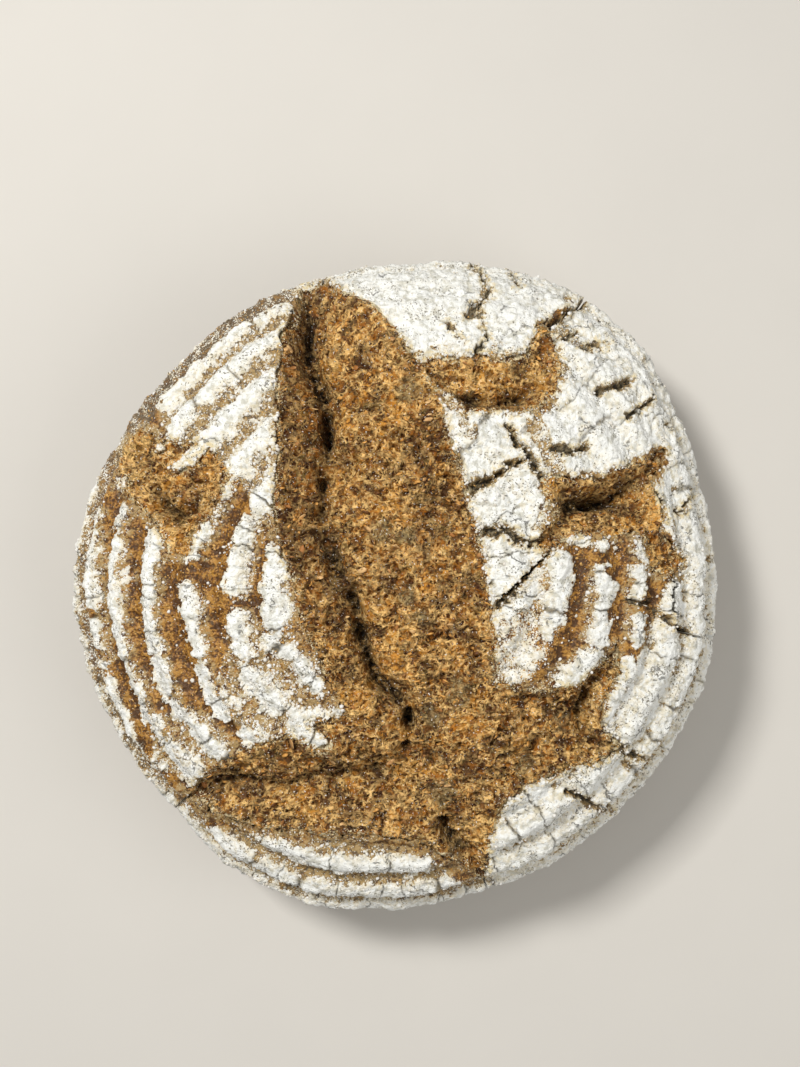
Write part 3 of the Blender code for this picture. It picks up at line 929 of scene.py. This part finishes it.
def crumbSurface(x, y):
    angle, along = planToCrust(x, y)
    plain = placeOnLoaf(angle, along, np.zeros(len(x)))
    wave = coilWave(along)
    bend = np.column_stack([layeredNoise(plain, 3.0, seed, 2, 0.5) for seed in (1, 3, 5)]) * crumb["bend"]
    drawn = (plain + bend) * crumb["stretch"]
    shag = smoothStep(0.6 + 0.6 * softNoise(plain, 9.0, 7))
    patch = np.zeros(len(x))
    for px, py, radius in crumb["smoothPatches"]:
        patch = np.maximum(patch, smoothStep((radius - np.hypot(x - px, y - py)) / 2.5 + 0.3
                                             + 0.6 * softNoise(plain, 2.5, 9)))
    detail = np.zeros(len(x))
    for number, (size, bowl, rise, width) in enumerate(crumb["cells"]):
        near, second, owner = cellNoise(drawn, size, 20 + 10 * number)
        wall = 1 - smoothStep((second - near) / width)
        strength = (0.4 + 0.9 * owner) * (0.5 + 0.5 * shag)
        detail = detail + strength * (rise * wall - bowl * smoothStep(1 - near / size * 1.6))
    for number, (size, rise) in enumerate(crumb["walls"]):
        detail = detail + rise * (curledWalls(drawn, size, 55 + number) - 0.3) * (0.5 + 0.7 * shag)
    for number, (size, rise) in enumerate(crumb["swell"][1:]):
        detail = detail + rise * softNoise(plain + bend, size, 51 + number)
    torn = tornDepth(x, y)
    detail = detail * (1 - 0.5 * patch) * (0.35 + 0.65 * smoothStep((torn + 1.5) / 3))
    size, rise = crumb["swell"][0]
    edge = 0.3 + 0.7 * smoothStep((torn + 1) / 5)
    level = crumb["sink"] - (crumb["sink"] - crumb["edgeSink"]) * np.exp(-(((torn - 0.8) / 2.7) ** 2))
    level = level + 1.6 * smoothStep((-1.2 - torn) / 2.0)        # slips under the crust
    strength = np.clip(0.8 + 1.0 * softNoise(plain, 5.5, 65), 0.15, 1.15)
    strength = strength * (1 - 0.45 * smoothStep((-45 - y) / 8) * smoothStep((-5 - x) / 8))
    broken = 0.4 + 0.6 * strength
    height = sharedRelief(x, y, wave, True, edge, broken) - level + detail + rise * softNoise(plain, size, 50)
    # painted shade: "deep" marks the clefts, a wide band round them and the pits, which are painted dark as
    # shade
    deep = np.zeros(len(x))
    wander = layeredNoise(plain, 5.0, 63, 4, 0.6)
    for path, depth, width, trough in clefts:
        reach = pathDistance(x, y, path) + 0.6 * width * wander
        narrow = np.exp(-((reach / (width * 0.6)) ** 2)) * strength * runOut(x, y, path)
        height = height - 0.6 * depth * narrow * edge
        deep = np.maximum(deep, narrow * depth / 4.5 + 0.2 * np.exp(-((reach / (width * 1.7)) ** 2)))
    for px, py, reachX, reachY, depth in crumb["pits"]:
        inPit = np.exp(-np.maximum(np.hypot((x - px) / reachX, (y - py) / reachY) + 0.8 * wander, 0) ** 4)
        height = height - depth * inPit * edge
        deep = np.maximum(deep, 0.95 * inPit)
    height = height - 0.6 * patch
    # painted shade: the long tear's left wall, which turns away from the light, is painted darker
    leftWallShade = smoothStep((-22 - x + 0.35 * np.minimum(y - 20, 0)) / 6) * smoothStep((y + 50) / 20)
    leftWallShade = leftWallShade * smoothStep((x + 50) / 6)
    tone = 0.46 + 0.4 * softNoise(plain, 12, 60) + 0.7 * softNoise(plain, 5.0, 61) - 0.7 * leftWallShade
    tone = tone - 0.15 * smoothStep((-45 - y) / 10) * smoothStep((-15 - x) / 8)   # the lower tear's left arm
    tone = tone + 0.3 * smoothStep((-48 - x) / 4) * smoothStep((y - 5) / 4)    # the left tear baked paler
    tone = tone - 0.2 * np.exp(-((torn / 1.5) ** 2))           # toasted along the torn edge
    values = {
        "relief": np.clip(0.5 + 0.22 * (detail - detail.mean()) / detail.std(), 0, 1),
        "deep": np.clip(deep, 0, 1),
        "grey": patch,
        "tone": np.clip(tone, 0, 1),
        "flourScore": np.clip(-0.7 - 0.9 * torn + 1.6 * softNoise(plain, 1.6, 66), -3, 0.4),
        "dust": 0.55 * smoothStep((3.5 - torn) / 3.5),
    }
    return placeOnLoaf(angle, along, height), values


def makeCrumb():
    taken = []
    for name, (parts, spacing) in crumb["pieces"].items():
        outlines = [tears[part] for part in parts]
        corners = np.array([point for outline in outlines for point in outline], float)

        def keep(x, y):
            inside = np.maximum.reduce([depthInside(x, y, outline) for outline in outlines])
            kept = inside > -crumb["margin"]
            for other in taken:
                kept &= depthInside(x, y, other) < 1.5         # lies under its neighbour a little
            return kept

        low, high = corners.min(axis=0) - crumb["margin"], corners.max(axis=0) + crumb["margin"]
        mesh = flatSheet(name, low, high, (spacing, spacing), keep)
        flat = readPlaces(mesh)
        places, values = crumbSurface(flat[:, 0], flat[:, 1])
        for other in taken:
            places[:, 2] -= 0.4 * smoothStep(depthInside(flat[:, 0], flat[:, 1], other) / 1.5)
        finishSheet(name, mesh, places, values, crumbMaterial, 18.0)
        taken += outlines


makeCrumb()


# The floured crust: sectors parted by the tears and by cracks that run down the side

# the long crack that parts the upper right of the crust from the lower right
rightSeam = ((28, -9), (36, -3), (40, 2), (45, 6), (50, 12), (60, 22), (85, 20), (90, 10), (91, 3),
             (90, -6), (92, -13), (98, -16), (130, -24))

crust = {
    # each sector's outline in plan, and its span: where it starts along the crust, first and last angle
    "sectors": {
        "crustTop": (
            ((-24, 130), (-24, 100), (-10, 60), (10, 60), (45, 76), (50, 83), (54, 87), (62, 93),
             (66, 99), (78, 130)), 60.0, 50.0, 108.0),
        "crustUpperRight": (
            ((78, 130), (66, 99), (62, 93), (54, 87), (50, 83), (45, 66), (30, 64), (12, 66),
             (6, 60), (10, 40), (20, 0)) + rightSeam + ((130, 130),), 18.0, -18.0, 84.0),
        "crustLowerRight": (
            rightSeam + ((130, -130), (40, -130), (33, -112), (29, -97), (26, -85), (40, -50),
                         (28, -35), (25, -20)), 24.0, -76.0, 22.0),
        "crustBottom": (
            ((29, -97), (33, -112), (40, -130), (-130, -130), (-84, -86), (-67, -69), (-40, -68),
             (0, -70), (20, -80), (24, -93)), 70.0, -140.0, -69.0),
        "crustLeft": (
            ((-24, 130), (-24, 100), (-30, 90), (-30, 40), (-28, 10), (-22, -10), (-8, -30), (-6, -44),
             (-20, -50), (-40, -60), (-67, -69), (-84, -86), (-130, -130), (-160, 0), (-130, 130)),
            24.0, 103.0, 256.0),
    },
    "lowest": 128.2,             # the groove where the body's own crust takes over
    "spacing": 0.47,
    "seam": 0.22,                # half the gap between two sectors
    "grit": 0.42,                # relief of the bare crust
    "curl": 0.2,                 # how far torn edges lift
}


def crackDepths(x, y, points):
    # depth of the cracks between plates, how near the bottom of one a place is, and the way to its lip
    depth, bottom, lip = np.zeros(len(x)), np.zeros(len(x)), np.full(len(x), 9.0)
    wander = 1.9 * layeredNoise(points, 5.0, 30, 4, 0.75) + 1.5 * (cellNoise(points, 2.0, 29)[2] - 0.5)
    wander = wander + 0.5 * softNoise(points, 1.1, 28)
    for path, deep, halfWidth in cracks:
        reach = np.maximum(pathDistance(x, y, path) + wander, 0)
        near = np.exp(-((reach / (halfWidth * 0.6)) ** 4))
        depth, bottom = np.maximum(depth, deep * near), np.maximum(bottom, near)
        lip = np.minimum(lip, reach - halfWidth)
    return depth, smoothStep((bottom - 0.45) / 0.4), lip


def crossCracks(points, angle, along):
    # distance to the nearest of the cracks that run across a ridge, and that crack's own number
    ring = np.round((along - coil["first"]) / coil["step"])
    ringRadius = np.interp(coil["first"] + ring * coil["step"], alongLine, radiusLine)
    wander = 2.0 * layeredNoise(points, 3.5, 84, 3, 0.6)
    place = (angle * ringRadius + wander) / flour["crossCrack"]
    nearest, owner = np.full(len(place), 9.0), np.zeros(len(place))
    for step in (-1, 0, 1):
        cell = np.column_stack([np.round(place) + step, ring, ring * 0])
        gap = np.abs(place - cell[:, 0] - 0.7 * (latticeRandom(cell, 87) - 0.5))
        owner = np.where(gap < nearest, latticeRandom(cell, 88), owner)
        nearest = np.minimum(nearest, gap)
    return nearest * flour["crossCrack"], owner


def crustSurface(angle, along):
    plain = placeOnLoaf(angle, along, np.zeros(len(angle)))
    x, y = plain[:, 0], plain[:, 1]
    wave = coilWave(along)
    torn = np.where(along < crust["lowest"], tornDepth(x, y), -6.0)      # no tears on the lower side
    share = ridgeShare(x, y)
    ragged = layeredNoise(plain, 4.0, 40, 4, 0.65)
    near, second, owner = cellNoise(plain + 0.5 * softNoise(plain, 1.2, 44)[:, None], flour["chip"], 45)
    wander = flour["ragged"] * (1.7 * ragged + 1.2 * (owner - 0.5))
    score, smear = flourScore(x, y, angle, along, wave, plain)
    distance, crackOwner = crossCracks(plain, angle, along)
    whole = 0.35 * smoothStep((-10 - x) / 10) * smoothStep((y - 25) / 10)      # few at the upper left
    present = smoothStep((crackOwner - 0.3 - whole) / 0.1) * share
    wide = smoothStep((crackOwner - 0.72) / 0.25)
    cross = present * (1 - smoothStep(distance / (0.45 + 1.2 * wide)))
    score = score + wander - 2.6 * present * wide * (1 - smoothStep(distance / 2.6))
    crack, bottom, lip = crackDepths(x, y, plain)
    score = np.minimum(score, -0.1 - 0.8 * torn + 2.4 * (owner - 0.5) + 1.4 * ragged)
    score = np.minimum(score, 1.3 * lip + 0.5 + 1.2 * (owner - 0.5))
    smear = smoothStep((np.maximum(smear, np.minimum(1.0, torn + 3.5)) + 0.7 * wander) / 1.4 + 0.2)
    cross = cross * smoothStep(score + 0.8)
    cover = smoothStep(score / 0.9 + 0.35)
    joint = (1 - smoothStep((second - near) / 0.45)) * smoothStep(0.3 + softNoise(plain, 5.0, 47))
    pillows = [np.abs(softNoise(plain, size, 90 + number))
               for number, (size, rise) in enumerate(flour["pillows"])]
    creaseShade = (1 - smoothStep(pillows[0] / 0.14)) * (1 - smoothStep(pillows[1] / 0.3))
    lumps = sum(rise * (pillow - 0.25) for pillow, (size, rise) in zip(pillows, flour["pillows"]))
    lumps = lumps * (0.45 + 0.55 * np.maximum(cover, smear))
    lumps = lumps + cover * (flour["chipStep"] * (owner - 0.5) - 0.25 * joint)
    grit = 0.6 * curledWalls(plain, 2.6, 93) + 0.5 * curledWalls(plain, 1.5, 94) - 0.3
    grit = grit + 0.5 * softNoise(plain, 3.5, 95)
    thick = flour["thickness"] * cover * smoothStep(0.25 - torn / 2.0)
    edge = 0.35 + 0.65 * smoothStep(-torn / 5)
    rise = sharedRelief(x, y, wave, False, edge) + thick + lumps + crust["grit"] * grit * (1.6 - cover)
    rise = rise + crust["curl"] * np.exp(np.minimum(torn, 0) / 2) - crack - 0.8 * cross
    inner = np.mod(along - coil["first"] + coil["step"] / 2, coil["step"]) / coil["step"]
    cream = smoothStep((0.46 - inner) / 0.2) * smoothStep((along - 30) / 12) * share
    cream = np.maximum(0.45 * cream, np.maximum(smoothStep((torn + 3.5) / 2.5), smoothStep(1 - lip / 2.0)))
    # painted shade: creases between the flour pillows take some cream colour, as the shade in them
    cream = np.maximum(cream, 0.35 * creaseShade)
    field = np.maximum.reduce([depthInside(x, y, flourFields[name][0]) for name in whiteFields])
    values = {
        "flourScore": score - 0.4 * joint,
        "dust": dustAndGlintAmount(x, y, along, smear * 2 - 0.5),
        "smear": smear,
        # past 110 mm along, the side takes the damp colour as painted shade
        "field": np.maximum.reduce([smoothStep(field / 4), 0.8 * smoothStep((along - 110) / 8),
                                    bareRim(angle, along)]),
        "grit": np.clip(0.5 + grit, 0, 1),
        "cream": np.clip(cream, 0, 1),
        "crack": np.clip(np.maximum(bottom, cross * 0.9), 0, 1),
    }
    return x, y, torn, rise, values


def makeCrust():
    for name, (outline, start, first, last) in crust["sectors"].items():

        def keep(along, angle):
            plain = placeOnLoaf(angle, along, np.zeros(len(angle)))
            edge = 1.9 * layeredNoise(plain, 4.5, 36, 4, 0.68)
            bend = [1.5 * layeredNoise(plain, 5.0, seed, 3, 0.55) for seed in (31, 34)]
            x, y = plain[:, 0], plain[:, 1]
            inSector = depthInside(x + bend[0], y + bend[1], outline) > crust["seam"]
            return (tornDepth(x, y) + edge < 0) & inSector

        spacing = (crust["spacing"], math.degrees(crust["spacing"] / loafForm["radius"]))
        low, high = (start, first), (crust["lowest"], last)
        mesh = flatSheet(name, low, high, spacing, lambda a, b: keep(a, np.radians(b)))
        flat = readPlaces(mesh)
        along, angle = flat[:, 0], np.radians(flat[:, 1])
        x, y, torn, rise, values = crustSurface(angle, along)
        rise = rise - 1.2 * smoothStep((along - crust["lowest"] + 1.5) / 1.5)      # dips into the groove
        finishSheet(name, mesh, placeOnLoaf(angle, along, rise), values, crustMaterial)


makeCrust()


# The body: side, underside and what shows through the cracks

body = {
    "around": 760,
    "rows": 120,
    # how the ball's rows are spread along the crust; the last one lies in the middle of the underside
    "rowShares": (0.0, 0.12, 0.72, 0.8, 1.0),
    "rowReaches": (0.0, 110.0, 172.0, 184.0),
    "deep": 24.0,                # how far it lies below the crumb
    "shallow": 2.4,              # and below the crust near the rim
}


def makeBody():
    ball = bmesh.new()
    bmesh.ops.create_uvsphere(ball, u_segments=body["around"], v_segments=body["rows"], radius=1.0)
    mesh = bpy.data.meshes.new("loafBody")
    ball.to_mesh(mesh)
    ball.free()
    ballPlaces = readPlaces(mesh)
    angle = np.arctan2(ballPlaces[:, 1], ballPlaces[:, 0])
    fall = np.arccos(np.clip(ballPlaces[:, 2], -1, 1)) / math.pi
    along = np.interp(fall, body["rowShares"], body["rowReaches"] + (alongLine[-1],))
    x, y, torn, rise, values = crustSurface(angle, along)
    shallow = np.maximum(smoothStep((-3 - torn) / 3), smoothStep((along - 122) / 3))
    shallow = smoothStep((along - 98) / 8) * shallow
    below = shallow * (body["deep"] - body["shallow"]) - body["deep"]
    rise = below + smoothStep((along - crust["lowest"] + 1.0) / 1.6) * (rise - below)
    values["flourScore"] = np.where(along < crust["lowest"] - 2, -3.0, values["flourScore"])
    places = placeOnLoaf(angle, along, rise)
    places[:, 2] = np.maximum(places[:, 2], loafForm["trim"])
    mesh.vertices.foreach_set("co", toWorld(places).ravel())
    setValues(mesh, values)
    piece = addPiece("loafBody", mesh, crustMaterial)
    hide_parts("loaf")


makeBody()


# Loose bits: each kind is one mesh, made of copies of a small closed shape

def bitShape(kind):
    form = bmesh.new()
    if kind == "flake":                                        # a bran flake: a thin bent disc
        bmesh.ops.create_cone(form, segments=7, radius1=1.0, radius2=0.9, depth=0.16, cap_ends=True)
        bmesh.ops.triangulate(form, faces=form.faces)
    else:
        bmesh.ops.create_icosphere(form, subdivisions=1, radius=1.0)
    mesh = bpy.data.meshes.new(kind)
    form.to_mesh(mesh)
    form.free()
    corners = np.array([tuple(polygon.vertices) for polygon in mesh.polygons])
    places = readPlaces(mesh)
    bpy.data.meshes.remove(mesh)
    return places, corners


def scatterBits(name, kind, spots, normals, sizes, lean, bow, rng, material):
    # copies of a shape at each spot, most of them lying across the loaf, as the crumb was drawn out
    shape, corners = bitShape(kind)
    count = len(spots)
    spin = rng.normal(0, 0.7, count)
    side = np.column_stack([np.cos(spin), np.sin(spin), np.zeros(count)])
    side -= normals * (side * normals).sum(axis=1)[:, None]
    side /= np.linalg.norm(side, axis=1)[:, None]
    across = np.cross(normals, side)
    tilt = rng.normal(0, lean, count)
    forward = side * np.cos(tilt)[:, None] + normals * np.sin(tilt)[:, None]
    upward = np.cross(forward, across)
    rough = 1 + rng.uniform(-0.25, 0.25, (count, len(shape), 1))
    bent = shape[None] * rough * sizes[:, None, :]
    lift = bow * sizes[:, None, 0] * (shape[None, :, 0] ** 2 - 0.4) * rng.uniform(-0.3, 1.0, (count, 1))
    bent[:, :, 2] += lift
    world = (bent[:, :, 0, None] * forward[:, None] + bent[:, :, 1, None] * across[:, None]
             + bent[:, :, 2, None] * upward[:, None]) + spots[:, None]
    mesh = bpy.data.meshes.new(name)
    faces = corners[None] + (np.arange(count) * len(shape))[:, None, None]
    mesh.from_pydata(world.reshape(-1, 3) * mm, [], faces.reshape(-1, corners.shape[1]))
    setValues(mesh, {"tint": np.repeat(rng.uniform(0, 1, count), len(shape))})
    form = bmesh.new()
    form.from_mesh(mesh)
    bmesh.ops.recalc_face_normals(form, faces=form.faces)
    form.to_mesh(mesh)
    form.free()
    return addPiece(name, mesh, material)


def topSpots(names, wanted, rng, weigh):
    # random vertices of some pieces, on their outer side, with the way that they face
    spots, normals, weights = [], [], []
    for name in names:
        mesh = bpy.data.objects[name].data
        normal = np.empty(len(mesh.vertices) * 3)
        mesh.vertex_normals.foreach_get("vector", normal)
        values = {}
        for attribute in ("flourScore", "relief", "deep", "crack", "smear"):
            if attribute in mesh.attributes:
                values[attribute] = np.empty(len(mesh.vertices))
                mesh.attributes[attribute].data.foreach_get("value", values[attribute])
        place = readPlaces(mesh)
        spots.append(place / mm)
        normals.append(normal.reshape(-1, 3))
        weights.append(weigh(place / mm, normal.reshape(-1, 3), values))
    spots, normals, weights = np.concatenate(spots), np.concatenate(normals), np.concatenate(weights)
    chosen = rng.choice(len(spots), wanted, replace=False, p=weights / weights.sum())
    return spots[chosen], normals[chosen]


bits = {
    "crumbShreds": {"count": 5200, "length": (0.35, 1.7), "width": 0.34, "thick": 0.1,
                    "lean": 0.7, "bow": 0.9},
    "crustShreds": {"count": 3000, "length": (0.3, 0.8), "width": 0.5, "thick": 0.16,
                    "lean": 0.4, "bow": 0.3},
    "flourCrumbs": {"count": 9800, "radius": (0.16, 0.78)},
    "branFlakes": {"count": 110, "length": (0.9, 1.9), "width": 0.55, "thick": 1.0,
                   "lean": 0.25, "bow": 0.25},
}


def outerOnly(place, normal):
    # leaves out the hidden walls and caps under a sheet
    reach = np.hypot(place[:, 0], place[:, 1])
    reach = np.minimum(reach, loafForm["radius"])
    level = np.interp(reach, radiusLine[:crownCount], heightLine[:crownCount])
    return (normal[:, 2] > 0.15) & (place[:, 2] > level - 14)


def makeBits():
    rng = np.random.default_rng(23)
    crumbPieces, crustPieces = list(crumb["pieces"]), list(crust["sectors"])
    shredMaterial = makeGrainMaterial("crumbShred", srgb(92, 52, 12), srgb(216, 158, 80), 0.5)
    bareMaterial = makeGrainMaterial("crustShred", srgb(92, 60, 24), srgb(204, 160, 92), 0.7)
    flourMaterial = makeGrainMaterial("looseFlour", srgb(206, 198, 182), srgb(230, 227, 220), 0.95)
    branMaterial = makeGrainMaterial("bran", srgb(160, 104, 48), srgb(222, 180, 122), 0.6)

    def leafSizes(look):
        count, (shortest, longest) = look["count"], look["length"]
        length = rng.uniform(0, 1, count) ** 2.4 * (longest - shortest) + shortest
        width = length * look["width"] * rng.uniform(0.6, 1.4, count)
        return np.column_stack([length, width, np.full(count, look["thick"])])

    look = bits["crumbShreds"]
    spots, normals = topSpots(crumbPieces, look["count"], rng, lambda place, normal, values: (
        outerOnly(place, normal) * (0.15 + values["relief"] ** 2) * (1.05 - np.clip(values["deep"], 0, 1))))
    scatterBits("crumbShreds", "shred", spots, normals, leafSizes(look), look["lean"], look["bow"],
                rng, shredMaterial)

    look = bits["crustShreds"]
    spots, normals = topSpots(crustPieces, look["count"], rng, lambda place, normal, values: (
        outerOnly(place, normal) * (values["flourScore"] < -0.2) * 1.0))
    scatterBits("crustShreds", "shred", spots, normals, leafSizes(look), look["lean"], look["bow"],
                rng, bareMaterial)

    look = bits["flourCrumbs"]
    spots, normals = topSpots(crustPieces, look["count"], rng, lambda place, normal, values: (
        outerOnly(place, normal) * (values["crack"] < 0.5)
        * (0.05 + np.exp(-((values["flourScore"] / 0.9) ** 2)) * (0.1 + 0.9 * values["smear"]))))
    least, most = look["radius"]
    radius = rng.uniform(0, 1, look["count"]) ** 3.0 * (most - least) + least
    sizes = radius[:, None] * rng.uniform(0.6, 1.1, (look["count"], 3))
    scatterBits("flourCrumbs", "grain", spots, normals, sizes, 0.4, 0.0, rng, flourMaterial)

    look = bits["branFlakes"]
    spots, normals = topSpots(crumbPieces, look["count"], rng, lambda place, normal, values: (
        outerOnly(place, normal) * (1.05 - np.clip(values["deep"], 0, 1))))
    scatterBits("branFlakes", "flake", spots + normals * 0.3, normals, leafSizes(look),
                look["lean"], look["bow"], rng, branMaterial)


makeBits()
